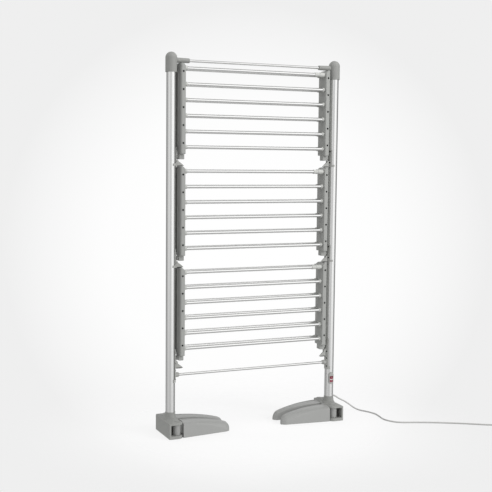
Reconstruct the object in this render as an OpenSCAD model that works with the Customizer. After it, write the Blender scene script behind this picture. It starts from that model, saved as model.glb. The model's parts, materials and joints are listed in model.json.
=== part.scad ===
// Heated clothes airer: two posts on folding feet carry three fold-down wings of heated rungs.
// X runs across the airer, the viewer stands at -Y, and Z = 0 is the floor.
// The origin lies on the floor, midway between the two posts.

/* [Frame] */
// Distance between the centres of the two posts
post_span = 670; // [600:5:760]
// Outside diameter of a post tube
post_d = 35; // [32:0.5:38]
// Wall thickness of a post tube
post_wall = 1.6; // [1.2:0.1:2.4]
// Diameter of the plain bars at the top and the bottom
bar_d = 10; // [8:0.5:12]
// Height of the bottom bar above the floor
bottom_bar_z = 225; // [210:1:235]
// Outside diameter of the cap on a post
cap_d = 42.8; // [40:0.2:46]
// Length of the cap's skirt below the centre of its arm
cap_skirt = 43; // [35:1:50]
// Length of a cap's arm, from the post centre to its tip
arm_reach = 68.5; // [60:0.5:90]
// Diameter of a cap's arm at its tip
arm_d = 17.4; // [15:0.2:17.6]
// Distance from the top of the upper wing to the centre of the arms
arm_gap = 10.3; // [9.5:0.1:14]

/* [Wings] */
// Height of the lowest wing's pivot above the floor
pivot_low = 288.1; // [280:0.1:300]
// Distance of the pivots behind the post plane
pivot_y = 4; // [3.5:0.1:5]
// Number of rungs in a wing's front row, and as many in its rear row
rung_count = 6; // [4:1:7]
// Distance between two rungs
rung_pitch = 56.75; // [50:0.25:62]
// Height of a wing's lowest rung above its pivot
low_rung_h = 35.75; // [34:0.25:40]
// Diameter of a rung
rung_d = 13; // [10:0.5:13]
// Distance of the front row of rungs before the post plane
row_front = 10; // [6:0.5:12]
// Distance of the rear row of rungs behind the post plane
row_back = 27; // [23:0.5:27.5]
// Wall thickness of a rung
rung_wall = 1; // [0.8:0.1:1.4]
// Diameter of the collar at the end of a rung
collar_d = 16; // [15:0.5:18]
// Length of the collar at the end of a rung
collar_l = 9; // [6:0.5:12]
// Diameter of the larger collars on the top rung
top_collar_d = 18; // [15:0.5:19]
// Length of the sleeve through which the supply enters the top rung
sleeve_l = 43; // [30:1:50]

/* [Wing rails] */
// Width of a wing's side rail
rail_w = 19; // [17:0.5:24]
// Gap between a rail and the post beside it
rail_gap = 11.5; // [11:0.1:14]
// Distance of a rail's front face in front of the post plane
rail_front = 25; // [22:0.5:28]
// Distance of a rail's back face behind the post plane
rail_back = 36.5; // [32:0.5:40]
// Distance of the seam between a rail's shells behind the post plane
seam_y = 8; // [8:0.1:9]
// Length of rail above the top rung
rail_head = 17.2; // [16:0.1:20]
// Radius of a rail's long edges on the side of the post
rail_edge_r = 7; // [3:0.5:8]
// Wall thickness of a rail's back shell
rail_wall = 2.5; // [2:0.1:3.5]
// Number of screws that close a rail
screw_count = 5; // [3:1:6]
// Thickness of the pivot tongue below a rail
tongue_t = 26; // [24:0.5:26]
// Length of the pivot tongue below the pivot
tongue_drop = 9.5; // [9:0.1:9.5]
// Diameter of a wing's pivot pin
pivot_pin_d = 8; // [6:0.5:9]

/* [Brackets] */
// Thickness of a bracket's saddle on the post
saddle_t = 2.4; // [2:0.1:3]
// Height of a saddle above the pivot
saddle_up = 33.5; // [24:0.5:40]
// Height of a bracket's stop fin
fin_h = 16.5; // [14:0.5:16.5]
// Distance from the pivot down to the underside of the fin
fin_drop = 34.2; // [34.2:0.1:40]
// Distance from the post centre to the tip of the fin
fin_reach = 47.5; // [42:0.5:52]
// Width of the fin's root from front to back
fin_w = 23; // [18:0.5:26]
// Gap between the underside of a fin and the wing below it
fin_gap = 0.8; // [0.6:0.1:3]

/* [Feet] */
// Distance from the post centre to a base block's outer side
base_out = 27; // [25:0.5:32]
// Distance from the post centre to a base block's inner side
base_in = 29; // [28:0.5:34]
// Half the length of a base block, from front to back
base_half = 79; // [76:0.5:90]
// Distance of a base block's middle behind the post plane
base_back = 7; // [0:0.5:10]
// Height of a base block along its middle
base_h = 72; // [70:0.5:76]
// Height of a base block at its ends
base_end_h = 60; // [59:0.5:64]
// Height of the floor of the hinge pockets
pocket_low = 13; // [10:0.5:15]
// Height of the roof of the hinge pockets
pocket_high = 53; // [45:0.5:54]
// Thickness of a base block's outer wall beside a pocket
pocket_wall = 6; // [4:0.5:8]
// Distance from a leg's hinge to its tip
leg_reach = 219; // [180:1:240]
// Height of a leg at its hinge end
leg_h = 60; // [56:0.5:64]
// Height of a leg at its tip
leg_tip_h = 32; // [24:0.5:36]
// Width of a leg at its hinge end
leg_w = 67; // [60:0.5:68]
// Diameter of a leg's hinge barrel
barrel_d = 29; // [24:0.5:30]
// Diameter of a leg's hinge pin
hinge_pin_d = 8; // [6:0.5:10]
// Thickness of the rubber pads
pad_t = 1.5; // [1.2:0.1:3]
// Diameter of the rubber pads
pad_d = 12; // [10:0.5:14]

/* [Switch and cord] */
// Height of the centre of the switch housing
switch_z = 162; // [150:1:175]
// Width of the switch housing
switch_w = 19.5; // [18:0.5:24]
// Height of the switch housing
switch_h = 46; // [42:0.5:54]
// Width of the rocker
rocker_w = 14; // [10:0.5:15]
// Height of the rocker
rocker_h = 24; // [20:0.5:26]
// Height at which the cord leaves the post
cord_z = 75; // [75:0.5:80]
// Diameter of the cord
cord_d = 6; // [5:0.5:6.5]

/* [Hidden] */

$fn = 48;
eps = 0.5;
// Clearances of a fixed fit, a running fit and two faces that pass each other
fit_gap = 0.02;
run_gap = 0.05;
face_gap = 0.3;

// Colours as photographed
aluminium = [0.78, 0.78, 0.77];
grey = [0.60, 0.61, 0.59];
light_grey = [0.68, 0.69, 0.67];
dark = [0.16, 0.16, 0.16];
red = [0.55, 0.10, 0.14];

// Places across the airer
post_x = post_span / 2;
post_r = post_d / 2;
rail_out = post_x - post_r - rail_gap;
rail_in = rail_out - rail_w;
rail_mid = rail_in + rail_w / 2;
bar_r = bar_d / 2;
rung_r = rung_d / 2;
rung_seat = 13;
back_seat = 9;
seat_wall = 2.5;
sleeve_wall = 1.5;
sleeve_collar_l = 24;
rung_half = rail_in + rung_seat;
back_half = rail_in + back_seat;

// Heights of the wings
wing_reach = low_rung_h + (rung_count - 1) * rung_pitch + rail_head;
wing_pitch = wing_reach + fin_drop + fin_gap;
wing_count = 3;
function pivot_z(i) = pivot_low + (wing_count - i) * wing_pitch;
function rung_z(i, k) = pivot_z(i) + low_rung_h + k * rung_pitch;
arm_z = pivot_z(1) + wing_reach + arm_gap;
post_top = arm_z + 5.5;
cap_top = arm_z + 29.5;

// Rail: the low edge meets the fin's front face when the wing lies flat
rail_low = 10;
fin_front = pivot_y - rail_low + face_gap;
rail_inner_r = 3;
duct_depth = 14;
duct_w = 12;
head_corner_w = 10;
head_corner_h = 11;
head_edge_r = 3;
channel_in = 7.5;
channel_front = 3;
channel_back = 3.5;
channel_low = 3;
channel_high = 4;
tongue_edge_r = 3;
tongue_gap = 0.3;
pivot_boss_r = 8;
pivot_boss_l = 6.5;
pivot_pin_r = pivot_pin_d / 2;
screw_head_r = 2.8;
screw_r = 1.25;
screw_sink = 3.5;
screw_head_t = 2;
screw_grip = 8;
screw_boss_r = 3.5;
screw_top = rung_r + screw_head_r + 2.9;
screw_end = screw_top + 1.7;
screw_pitch = ((rung_count - 1) * rung_pitch - screw_top - screw_end) / (screw_count - 1);
function screw_z(i, k) = rung_z(i, rung_count - 1) - screw_top - k * screw_pitch;

// Post fixings
strap_h = 8;
strap_up = 1.2;
fixing_angle = 28;
fixing_head_r = 3;
fixing_r = 1.5;
fixing_head_t = 1.4;
fixing_low = 16.5;
fixing_high = 26.5;
last_fixings = [19, 46, 78];
socket_r = 9;
socket_l = 9;
saddle_edge = 12.5;
strap_edge = 2;
last_fin_drop = 4.5;
beak_t = 3.5;
beak_root = 8;
skirt_low = 90;
ear_h = 12;
ear_edge = 6;

// Foot
pocket_y = 40;
hinge_in = 7;
hinge_x = post_x - hinge_in;
hinge_y = base_half - 22;
hinge_round = 22;
hinge_pin_r = hinge_pin_d / 2;
barrel_r = barrel_d / 2;
barrel_gap = 0.4;
boss_r = 12;
boss_top = 5;
crown_drop = 11;
post_low = 12;
cover_inset = 4;
cover_t = 3;
flare_top = 88;
flare_r = 24;
neck_in = 12;
neck_out = 2;

// Switch and rocker
switch_face = post_r + 3;
rocker_gap = 0.4;
rocker_tilt = 7;
rocker_hub_r = 2.5;
rocker_hub_y = 16;
switch_body_front = 14;
switch_body_depth = 12;

// Cord, in the places that it lies in
cord_r = cord_d / 2;
gland_l = 26;
gland_root_r = 6.5;
gland_way = 45;
cord_start = post_r + face_gap + gland_l;
cord_route = [[post_x + cord_start * cos(gland_way), cord_start * sin(gland_way), cord_z],
    [370, 35, 75], [375, 40, 75], [382, 46, 74], [391, 51, 70], [402, 54, 64], [413, 56, 56.5],
    [427, 58, 49], [441, 59, 42], [455, 60, 33], [469, 59, 23], [482, 54, 13], [494, 45, 6],
    [504, 31, 3], [513, 14, 3], [521, -5, 3], [527, -25, 3], [529, -48, 3], [526, -72, 3],
    [521, -97, 3], [518, -122, 3], [523, -147, 3], [537, -172, 3], [555, -188, 3], [577, -198, 3],
    [605, -208, 3], [650, -227, 3], [710, -257, 3], [780, -298, 3], [845, -341, 3], [883, -367, 4.3],
    [898, -377, 4.3], [919, -391, 4.3], [925, -395, 4.3]];
cord_sides = 10;
cord_steps = 2;

// Coil: its loops spiral in along the floor, climb one layer and spiral out again
coil_turns = 4.2;
coil_step = 6.7;
coil_low = 4.3;
coil_out_r = 40;
coil_sides = 6;
coil_rings = 24;
coil_entry = [925, -395, coil_low];
coil_heading = atan2(-4, 6);
coil_centre = [coil_entry[0] + cord_d * cos(coil_heading) - coil_out_r * sin(coil_heading),
    coil_entry[1] + cord_d * sin(coil_heading) + coil_out_r * cos(coil_heading)];
tie_t = 1.2;
tie_w = 8;
plug_z = 7;

// Plain helpers
module on_side(s) {
    if (s > 0) children();
    else mirror([1, 0, 0]) children();
}

module rod_x(x0, x1, y, z, r) {
    translate([x0, y, z]) rotate([0, 90, 0]) cylinder(h = x1 - x0, r = r);
}

module rod_y(y0, y1, x, z, r) {
    translate([x, y1, z]) rotate([90, 0, 0]) cylinder(h = y1 - y0, r = r);
}

module rod_z(z0, z1, x, y, r) {
    translate([x, y, z0]) cylinder(h = z1 - z0, r = r);
}

// A side profile drawn in Y and Z, pushed along X from x0 to x1
module along_x(x0, x1) {
    translate([x0, 0, 0]) rotate([90, 0, 90]) linear_extrude(x1 - x0) children();
}

// A front profile drawn in X and Z, pushed along Y from y0 to y1
module along_y(y0, y1) {
    translate([0, y1, 0]) rotate([90, 0, 0]) linear_extrude(y1 - y0) children();
}

function arc(cx, cy, r, a0, a1, n) =
    [for (k = [0:n]) let (a = a0 + (a1 - a0) * k / n) [cx + r * cos(a), cy + r * sin(a)]];

// Posts, with holes for what is fixed to them
module fixing_holes(i, r0, r1, r) {
    drops = i == wing_count
        ? last_fixings
        : [fixing_low, -fixing_high];
    for (d = drops)
        translate([post_x, 0, pivot_z(i) - d])
            rotate([0, 0, 180 + fixing_angle])
                rod_x(r0, r1, 0, 0, r);
}

module post(s) {
    color(aluminium) on_side(s) difference() {
        rod_z(post_low, post_top, post_x, 0, post_r);
        rod_z(post_low - eps, post_top + eps, post_x, 0, post_r - post_wall);
        for (i = [1:wing_count]) {
            fixing_holes(i, post_r - 2 * post_wall, post_r + eps, fixing_r + fit_gap);
            rod_x(post_x - post_r - eps, post_x, pivot_y, pivot_z(i), pivot_pin_r + fit_gap);
        }
        if (s > 0) {
            translate([post_x - rocker_w / 2 - 1, -post_r - eps, switch_z - 4 - rocker_h / 2 - 1])
                cube([rocker_w + 2, post_r, rocker_h + 2]);
            translate([post_x, 0, cord_z]) rotate([0, 0, gland_way])
                rod_x(0, post_r + eps, 0, 0, cord_r);
        }
    }
}

module cap(s) {
    color(grey) on_side(s) difference() {
        union() {
            rod_z(arm_z - cap_skirt, cap_top - cap_d / 2, post_x, 0, cap_d / 2);
            translate([post_x, 0, cap_top - cap_d / 2]) sphere(r = cap_d / 2);
            translate([post_x - arm_reach, 0, arm_z])
                rotate([0, 90, 0]) cylinder(h = arm_reach, r1 = arm_d / 2, r2 = arm_d / 2 + 1.4);
        }
        rod_z(arm_z - cap_skirt - eps, post_top + face_gap, post_x, 0, post_r + fit_gap);
        rod_x(post_x - arm_reach - eps, post_x - post_r - 4, 0, arm_z, bar_r + fit_gap);
    }
}

module top_bar() {
    half = post_x - post_r - 4.3;
    color(aluminium) rod_x(-half, half, 0, arm_z, bar_r);
}

module bottom_bar() {
    half = post_x - post_r - saddle_t;
    color(aluminium) rod_x(-half, half, 0, bottom_bar_z, bar_r);
}

// Brackets: a saddle on the post, a gusset and the beak-shaped fin that stops the folded wing
module saddle(z0, z1, x_end) {
    difference() {
        intersection() {
            rod_z(z0, z1, post_x, 0, post_r + saddle_t);
            translate([0, -cap_d, z0]) cube([x_end, 2 * cap_d, z1 - z0]);
        }
        rod_z(z0 - eps, z1 + eps, post_x, 0, post_r + fit_gap);
    }
}

module bracket_fin(z, drop) {
    root = post_x - post_r + 2;
    tip = post_x - fin_reach;
    low = z - drop;
    top = low + fin_h;
    boss_low = z - pivot_boss_r - 1;
    gusset_in = rail_out + 1.3;
    difference() {
        along_y(fin_front, fin_front + fin_w)
            polygon(concat(
                [[root, low], [root, boss_low], [gusset_in + 5, boss_low], [gusset_in, boss_low - 6],
                 [gusset_in, top], [gusset_in - 2.5, top - 0.4], [gusset_in - 5, top - 2]],
                arc(tip + 1.6, low + 2, 1.4, 130, 250, 4),
                [[tip + 3, low]]));
        translate([0, 0, low - eps]) linear_extrude(z - low)
            polygon([[tip - 1, fin_front + beak_t], [gusset_in, fin_front + beak_root],
                [gusset_in + 7, fin_front + fin_w + eps], [tip - 1, fin_front + fin_w + eps]]);
        rod_z(low - eps, z, post_x, 0, post_r + fit_gap);
    }
}

module bracket(s, i) {
    z = pivot_z(i);
    last = i == wing_count;
    color(light_grey) on_side(s) difference() {
        union() {
            saddle(last ? z - skirt_low : z - fin_drop, z + saddle_up, post_x - saddle_edge);
            bracket_fin(z, last ? fin_drop + last_fin_drop : fin_drop);
            if (last)
                saddle(z - skirt_low, z - skirt_low + ear_h, post_x - ear_edge);
            else
                saddle(z - fin_drop + strap_up, z - fin_drop + strap_up + strap_h,
                    post_x - strap_edge);
            if (last) difference() {
                rod_x(rail_out + 1, post_x - 10, 0, bottom_bar_z, socket_r);
                rod_z(bottom_bar_z - 2 * socket_r, bottom_bar_z + 2 * socket_r, post_x, 0,
                    post_r + fit_gap);
            }
            if (last) difference() {
                rod_x(rail_out + 1 - socket_l / 2, rail_out + 2, 0, bottom_bar_z, socket_r - 1.4);
            }
        }
        if (last) rod_x(rail_in, post_x - post_r, 0, bottom_bar_z, bar_r + fit_gap);
        rod_x(rail_out, post_x - 10, pivot_y, z, pivot_pin_r + fit_gap);
        fixing_holes(i, 0, post_r + saddle_t + eps, fixing_r + fit_gap);
        fixing_holes(i, post_r + saddle_t - 1, post_r + saddle_t + 6, fixing_head_r + fit_gap);
    }
}

module bracket_screws() {
    seat = post_r + saddle_t - 1;
    color(dark) for (s = [-1, 1]) on_side(s) for (i = [1:wing_count]) {
        fixing_holes(i, post_r - 4, seat, fixing_r);
        fixing_holes(i, seat, seat + fixing_head_t, fixing_head_r);
    }
}

module wing_pivot_pins() {
    color(aluminium) for (s = [-1, 1]) on_side(s) for (i = [1:wing_count])
        rod_x(rail_in + 3.5, post_x - post_r + 4, pivot_y, pivot_z(i), pivot_pin_r);
}

// Rails: the outline seen from the side, with a head that swings clear about the pivot
function swing_z(y) = sqrt(wing_reach * wing_reach - (y - pivot_y) * (y - pivot_y));

// Steps of the head's rounded back edge: in from the rail's back face, and down from the swing
head_back = [[0, 7], [0.4, 4.9], [1.6, 2.6], [3.6, 1.1], [6.5, 0.2], [16, 0], [26, 0]];

// Behind its pivot the head keeps to the circle that its wing swings in
module rail_outline(z) {
    top = z + wing_reach;
    polygon(concat(
        [[-rail_front, z + rail_low + 2], [-rail_front + 2, z + rail_low],
         [rail_back - 3, z + rail_low], [rail_back, z + rail_low + 3]],
        [for (p = head_back) [rail_back - p[0], z + swing_z(rail_back - p[0]) - p[1]]],
        [[pivot_y, top]],
        arc(-rail_front + head_edge_r, top - head_edge_r, head_edge_r, 90, 180, 6)));
}

// The outline seen from the front, with the inner corner of the head cut off aslant
module head_outline(z) {
    top = z + wing_reach + eps;
    polygon([[rail_in, z], [rail_out, z], [rail_out, top], [rail_in + head_corner_w, top],
        [rail_in + head_corner_w - 1.5, top - 1.2], [rail_in + 0.9, top - head_corner_h + 1],
        [rail_in, top - head_corner_h - 1.2]]);
}

// Plan of a shell whose two edges away from the seam are rounded; y1 lies on the seam
module shell_plan(y0, y1, r_in, r_out) {
    dir = sign(y1 - y0);
    depth = abs(y1 - y0);
    translate([rail_in, min(y0 + dir * r_out, y1)]) square([rail_w, depth - r_out]);
    translate([rail_in, min(y0 + dir * r_in, y1)]) square([r_in, depth - r_in]);
    translate([rail_in + r_in, min(y0, y1)]) square([rail_w - r_in - r_out, depth]);
    translate([rail_in + r_in, y0 + dir * r_in]) circle(r = r_in);
    translate([rail_out - r_out, y0 + dir * r_out]) circle(r = r_out);
}

module shell_block(z, y0, y1) {
    intersection() {
        translate([0, 0, z]) linear_extrude(wing_reach + eps)
            shell_plan(y0, y1, rail_inner_r, y0 < y1 ? rail_edge_r : rail_inner_r);
        along_x(rail_in - eps, rail_out + eps) rail_outline(z);
        along_y(-rail_front - eps, rail_back + eps) head_outline(z);
    }
}

module front_shell(s, i) {
    z = pivot_z(i);
    color(grey) on_side(s) difference() {
        shell_block(z, -rail_front, seam_y);
        for (k = [0:rung_count - 1])
            rod_x(rail_in - eps, rung_half + face_gap, -row_front, rung_z(i, k), rung_r + fit_gap);
        translate([rail_mid - duct_w / 2, seam_y - duct_depth, rung_z(i, 0) - rung_r])
            cube([duct_w, duct_depth + eps, (rung_count - 1) * rung_pitch + 2 * rung_r]);
        for (k = [0:screw_count - 1]) {
            rod_y(-rail_front - eps, -rail_front + screw_sink + screw_head_t, rail_mid,
                screw_z(i, k), screw_head_r + fit_gap);
            rod_y(-rail_front, seam_y + eps, rail_mid, screw_z(i, k), screw_r + fit_gap);
        }
    }
}

module tongue(z) {
    front = pivot_y - tongue_t / 2;
    back = pivot_y + tongue_t / 2;
    low = z - tongue_drop;
    high = z + rail_low;
    difference() {
        union() {
            translate([rail_in, front, low + tongue_edge_r])
                cube([rail_w, tongue_t, high - tongue_gap - low - tongue_edge_r]);
            translate([rail_in, seam_y, high - 1]) cube([rail_w, back - seam_y, 12]);
            translate([rail_in + tongue_edge_r, front, low])
                cube([rail_w - 2 * tongue_edge_r, tongue_t, tongue_edge_r + eps]);
            for (x = [rail_in + tongue_edge_r, rail_out - tongue_edge_r])
                rod_y(front, back, x, low + tongue_edge_r, tongue_edge_r);
            rod_x(rail_out - 1, rail_out + pivot_boss_l, pivot_y, z, pivot_boss_r);
        }
        rod_x(rail_in + 3, rail_out + pivot_boss_l + eps, pivot_y, z, pivot_pin_r + run_gap);
    }
}

// The channel along a back shell, open towards the post
module channel(z) {
    low = z + rail_low + channel_low;
    depth = rail_back - channel_back - seam_y - channel_front;
    translate([rail_out - channel_in, seam_y + channel_front, low])
        cube([channel_in + eps, depth, z + wing_reach - channel_high - low]);
}

module back_shell(s, i) {
    z = pivot_z(i);
    hollow_low = z + rail_low + 20;
    hollow_h = wing_reach - rail_low - 20 - 24;
    hollow_y = rail_back - rail_wall - seam_y;
    color(grey) on_side(s) {
        difference() {
            union() {
                difference() {
                    shell_block(z, rail_back, seam_y);
                    translate([rail_in + rail_wall, seam_y - eps, hollow_low])
                        cube([rail_w - 2 * rail_wall, hollow_y + eps, hollow_h]);
                    channel(z);
                }
                for (k = [0:screw_count - 1])
                    rod_y(seam_y, rail_back - rail_wall + eps, rail_mid, screw_z(i, k), screw_boss_r);
                for (k = [0:rung_count - 1])
                    rod_x(rail_in + rail_wall - 1, back_half + face_gap, row_back, rung_z(i, k),
                        rung_r + seat_wall);
                tongue(z);
            }
            for (k = [0:screw_count - 1])
                rod_y(seam_y - eps, seam_y + screw_grip + eps, rail_mid, screw_z(i, k),
                    screw_r + fit_gap);
            for (k = [0:rung_count - 1])
                rod_x(rail_in - eps, back_half + face_gap + eps, row_back, rung_z(i, k),
                    rung_r + fit_gap);
            rod_x(rail_in + 3, rail_out + pivot_boss_l + eps, pivot_y, z, pivot_pin_r + run_gap);
        }
    }
}

// Rungs in two rows: y is the row's place, half its rungs' half length
module rung_row(i, y, half) {
    for (k = [0:rung_count - 1]) difference() {
        rod_x(-half, half, y, rung_z(i, k), rung_r);
        rod_x(-half - eps, half + eps, y, rung_z(i, k), rung_r - rung_wall);
    }
}

module rungs(i) {
    color(aluminium) {
        rung_row(i, -row_front, rung_half);
        rung_row(i, row_back, back_half);
    }
}

module heating_elements(i) {
    color("firebrick") for (k = [0:rung_count - 1]) {
        rod_x(1 - rung_half, rung_half - 1, -row_front, rung_z(i, k), rung_r - rung_wall - face_gap);
        rod_x(1 - back_half, back_half - 1, row_back, rung_z(i, k), rung_r - rung_wall - face_gap);
    }
}

// Collars of one row; a sleeve takes the supply into the top rung of the front row
module collar_row(i, y, sleeve) {
    top = rung_count - 1;
    for (k = [0:top]) difference() {
        union() {
            rod_x(rail_in - (k == top && sleeve ? sleeve_collar_l : collar_l), rail_in, y,
                rung_z(i, k), (k == top ? top_collar_d : collar_d) / 2);
            if (k == top && sleeve)
                rod_x(rail_in - sleeve_l, rail_in, y, rung_z(i, k), rung_r + sleeve_wall);
        }
        rod_x(rail_in - sleeve_l - eps, rail_in + eps, y, rung_z(i, k), rung_r + fit_gap);
    }
}

module collars(i) {
    color(light_grey) for (s = [-1, 1]) on_side(s) {
        collar_row(i, -row_front, s > 0);
        collar_row(i, row_back, false);
    }
}

module wing_screws(i) {
    head = -rail_front + screw_sink;
    color(dark) for (s = [-1, 1]) on_side(s) for (k = [0:screw_count - 1]) {
        rod_y(head, head + screw_head_t, rail_mid, screw_z(i, k), screw_head_r);
        rod_y(head + screw_head_t, seam_y + screw_grip, rail_mid, screw_z(i, k), screw_r);
    }
}

// Feet: a base block per post, with a hinge pocket at each end
module base_plan(grow = 0) translate([0, base_back]) {
    translate([post_x - base_in - grow, -hinge_y]) square([base_in + base_out + 2 * grow, 2 * hinge_y]);
    for (e = [-1, 1]) {
        translate([hinge_x, e > 0 ? hinge_y : -base_half - grow])
            square([post_x + base_out + grow - hinge_x, base_half + grow - hinge_y]);
        translate([hinge_x, e * hinge_y]) circle(r = hinge_round + grow);
    }
}

module base_body() {
    half = (base_in + base_out) / 2;
    side_r = (half * half + crown_drop * crown_drop) / (2 * crown_drop);
    end_drop = base_h - base_end_h;
    end_r = (base_half * base_half + end_drop * end_drop) / (2 * end_drop);
    intersection() {
        translate([0, 0, pad_t]) linear_extrude(base_h + 10) base_plan();
        rod_y(-2 * base_half, 2 * base_half, post_x + (base_out - base_in) / 2,
            base_h - 4 - side_r, side_r);
        rod_x(post_x - 2 * base_in, post_x + 2 * base_out, base_back, base_h - end_r, end_r);
    }
}

module base_flare() {
    hollow_r = flare_r - post_r - 1;
    translate([post_x, 0, 0]) rotate_extrude() difference() {
        translate([0, base_h - 22]) square([flare_r, flare_top - base_h + 22]);
        translate([flare_r, flare_top]) scale([1, (flare_top - base_h + 8) / hollow_r])
            circle(r = hollow_r);
    }
}

module base(s) {
    color(grey) on_side(s) difference() {
        union() {
            base_body();
            base_flare();
            for (e = [-1, 1])
                rod_z(pocket_high + 2, base_end_h + boss_top, hinge_x, base_back + e * hinge_y, boss_r);
        }
        rod_z(post_low - face_gap, flare_top + eps, post_x, 0, post_r + fit_gap);
        if (s > 0)
            translate([post_x, 0, cord_z]) rotate([0, 0, gland_way])
                rod_x(post_r - 2, flare_r + 2, 0, 0, gland_root_r + fit_gap);
        for (e = [-1, 1]) {
            translate([hinge_x - 2 * hinge_round, base_back + (e > 0 ? pocket_y : -2 * base_half),
                pocket_low])
                cube([post_x + base_out - pocket_wall - hinge_x + 2 * hinge_round,
                    2 * base_half - pocket_y, pocket_high - pocket_low]);
            rod_z(pad_t + cover_t + 2, base_end_h + 2, hinge_x, base_back + e * hinge_y,
                hinge_pin_r + fit_gap);
        }
        translate([0, 0, pad_t - eps]) linear_extrude(cover_t + eps) base_plan(-cover_inset);
    }
}

module base_covers() {
    color(dark) for (s = [-1, 1]) on_side(s)
        translate([0, 0, pad_t]) linear_extrude(cover_t - 0.1) base_plan(-cover_inset - 0.2);
}

module base_pads() {
    color(dark) for (s = [-1, 1]) on_side(s) for (e = [-1, 1]) for (x = [-12, 12])
        rod_z(0, pad_t, post_x + x, base_back + e * (base_half - 18), pad_d / 2);
}

module leg_hinge_pins() {
    color(aluminium) for (s = [-1, 1]) on_side(s) for (e = [-1, 1])
        rod_z(pad_t + cover_t + 2.3, base_end_h + 1.7, hinge_x, base_back + e * hinge_y, hinge_pin_r);
}

// Legs, drawn with the hinge axis on Z, reaching along +X with +Y outwards
leg_start = max(hinge_round, base_in - hinge_in) + 0.5;
leg_low = pad_t;
leg_out_y = 17;
leg_round = 20;
leg_sections = 22;

function leg_t(x) = (x - leg_start) / (leg_reach - leg_start);
function leg_close(x) =
    x < leg_reach - leg_round ? 1 : sqrt(max(0, 1 - pow((x - leg_reach + leg_round) / leg_round, 2)));
function leg_outer(x) = leg_out_y - 22 * leg_t(x);
function leg_inner(x) = leg_out_y - leg_w + 12 * leg_t(x);
function leg_edge_h(x) = leg_low + (leg_h - 4 - leg_low) * (1 - 0.92 * pow(leg_t(x), 2));
function leg_crest(x) = leg_h - (leg_h - leg_tip_h) * pow(leg_t(x), 2.4);

// Section of a leg at x: the outer side is upright, the top rolls over to a crest near the inside
function leg_ring(x) = let (
    c = max(leg_close(x), 0.12),
    yo = leg_outer(x),
    yi = leg_inner(x),
    mid = (yo + yi) / 2,
    roll = 0.62 * (yo - yi),
    edge = leg_edge_h(x),
    crest = leg_crest(x),
    inner_h = edge + 0.75 * (crest - edge),
    outline = concat(
        [[yo, leg_low + 2], [yo, edge - 6]],
        [for (k = [0:7]) let (a = 90 * k / 7)
            [yo - roll * (1 - cos(a)), edge - 6 + (crest - edge + 6) * sin(a)]],
        [for (k = [1:5]) let (a = 90 * k / 5)
            [yo - roll - (yo - yi - roll) * sin(a), inner_h + (crest - inner_h) * cos(a) - 4 * k / 5]],
        [[yi, leg_low + 2], [yi + 2, leg_low], [yo - 2, leg_low]]))
    [for (p = outline) [x, mid + (p[0] - mid) * c, leg_low + (p[1] - leg_low) * (0.35 + 0.65 * c)]];

leg_body = leg_reach - leg_round - leg_start;
leg_xs = concat(
    [for (k = [0:leg_sections - 8]) leg_start + leg_body * k / (leg_sections - 7)],
    [for (k = [0:7]) leg_reach - leg_round + leg_round * sin(90 * k / 7)]);

module loft(rings) {
    n = len(rings[0]);
    m = len(rings);
    polyhedron(
        points = [for (ring = rings) for (p = ring) p],
        faces = concat(
            [[for (k = [0:n - 1]) n - 1 - k]],
            [for (j = [0:m - 2]) for (k = [0:n - 1])
                [j * n + k, j * n + (k + 1) % n, (j + 1) * n + (k + 1) % n]],
            [for (j = [0:m - 2]) for (k = [0:n - 1])
                [j * n + k, (j + 1) * n + (k + 1) % n, (j + 1) * n + k]],
            [[for (k = [0:n - 1]) (m - 1) * n + k]]));
}

module leg_shape() {
    neck_low = pocket_low + barrel_gap + 2;
    difference() {
        union() {
            loft([for (k = [1:len(leg_xs)]) leg_ring(leg_xs[len(leg_xs) - k])]);
            rod_z(pocket_low + barrel_gap, pocket_high - barrel_gap, 0, 0, barrel_r);
            translate([0, -neck_in, neck_low])
                cube([leg_start + 4, neck_in + neck_out, pocket_high - barrel_gap - 2 - neck_low]);
        }
        rod_z(0, base_h, 0, 0, hinge_pin_r + run_gap);
    }
}

// Puts a shape drawn about the hinge at one of the four corners
module at_corner(s, e) {
    on_side(s) translate([hinge_x, base_back + e * hinge_y, 0]) {
        if (e > 0) mirror([1, 0, 0]) children();
        else rotate([0, 0, 180]) children();
    }
}

module leg(s, e) {
    color(grey) at_corner(s, e) leg_shape();
}

module leg_pad(s, e) {
    x = leg_reach - leg_round - pad_d;
    color(dark) at_corner(s, e)
        rod_z(0, leg_low, x, (leg_outer(x) + leg_inner(x)) / 2, pad_d / 2);
}

// Switch on the front of the right post
module stadium(w, h) {
    square([w, h - w], center = true);
    for (e = [-1, 1]) translate([0, e * (h - w) / 2]) circle(r = w / 2);
}

rocker_z = switch_z - 4;

module switch_housing() {
    color(light_grey) difference() {
        along_y(-switch_face, -post_r + 8) translate([post_x, switch_z]) stadium(switch_w, switch_h);
        rod_z(switch_z - switch_h, switch_z + switch_h, post_x, 0, post_r + fit_gap);
        translate([post_x - rocker_w / 2 - rocker_gap, -switch_face - eps,
            rocker_z - rocker_h / 2 - rocker_gap])
            cube([rocker_w + 2 * rocker_gap, switch_face, rocker_h + 2 * rocker_gap]);
    }
}

module switch_body() {
    color(dark) difference() {
        translate([post_x - rocker_w / 2, -switch_body_front, rocker_z - rocker_h / 2])
            cube([rocker_w, switch_body_depth, rocker_h]);
        rod_x(post_x - rocker_w, post_x + rocker_w, -rocker_hub_y, rocker_z,
            rocker_hub_r + 2 * run_gap);
    }
}

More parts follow.
